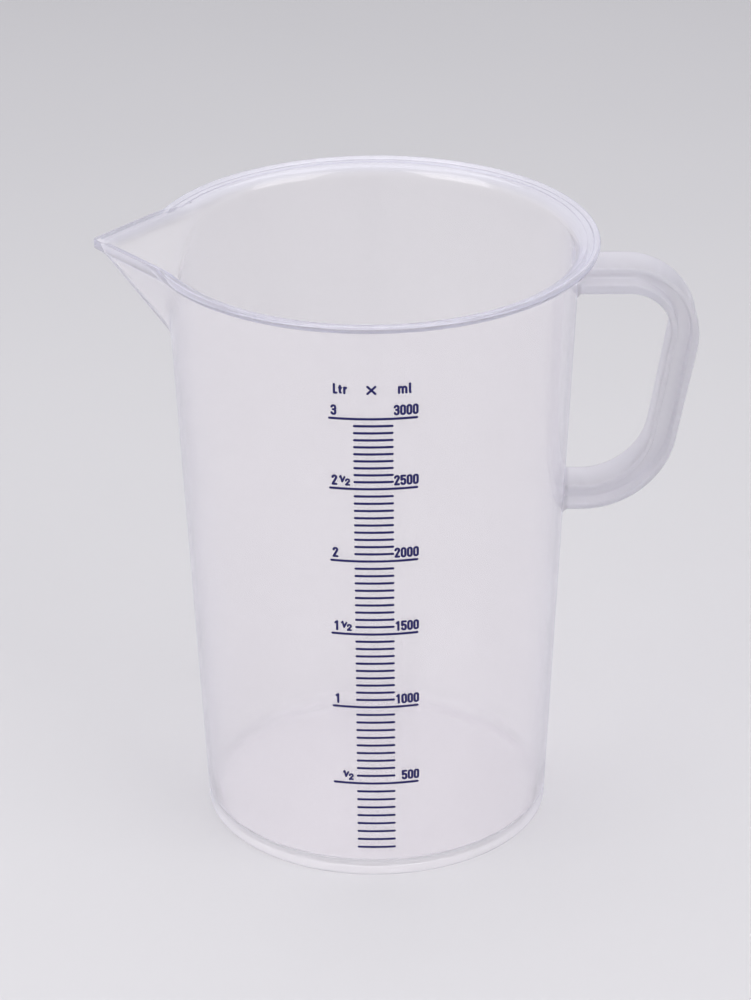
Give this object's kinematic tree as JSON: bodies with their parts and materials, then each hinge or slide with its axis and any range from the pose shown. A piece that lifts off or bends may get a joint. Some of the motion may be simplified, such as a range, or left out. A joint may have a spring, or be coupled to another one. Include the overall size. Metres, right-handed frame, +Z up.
{
  "type": "graduated measuring jug",
  "caption": "Tall translucent plastic measuring jug with a rolled rim, V-shaped pouring spout, D-shaped handle and a printed volume scale on the front.",
  "frame": {"origin": "on the vessel's axis at the table plane, the middle of the ring it stands on", "axes": "+Z up along the vessel's axis, +X towards the handle, -X towards the spout, -Y the side with the printed scale"},
  "size_m": [0.2291, 0.172, 0.24],
  "materials": {
    "polypropylene": "translucent, slightly milky clear polypropylene with a satin gloss",
    "ink": "thin printed dark navy ink"
  },
  "bodies": {
    "root": {"foot_ring": "polypropylene", "base_floor": "polypropylene", "vessel_wall": "polypropylene", "rim_flare": "polypropylene", "rim_bead": "polypropylene", "pour_spout": "polypropylene", "spout_lip": "polypropylene", "handle_outer_flange": "polypropylene", "handle_web": "polypropylene", "handle_inner_flange": "polypropylene", "cross_heading": "ink", "litre_heading": "ink", "litre_number_1000": "ink", "litre_number_1500": "ink", "litre_number_2000": "ink", "litre_number_2500": "ink", "litre_number_3000": "ink", "litre_number_500": "ink", "long_line_1000": "ink", "long_line_1500": "ink", "long_line_2000": "ink", "long_line_2500": "ink", "long_line_3000": "ink", "long_line_500": "ink", "millilitre_heading": "ink", "millilitre_number_1000": "ink", "millilitre_number_1500": "ink", "millilitre_number_2000": "ink", "millilitre_number_2500": "ink", "millilitre_number_3000": "ink", "millilitre_number_500": "ink", "short_lines_below_1000": "ink", "short_lines_below_1500": "ink", "short_lines_below_2000": "ink", "short_lines_below_2500": "ink", "short_lines_below_3000": "ink", "short_lines_below_500": "ink"}
  },
  "joints": []
}
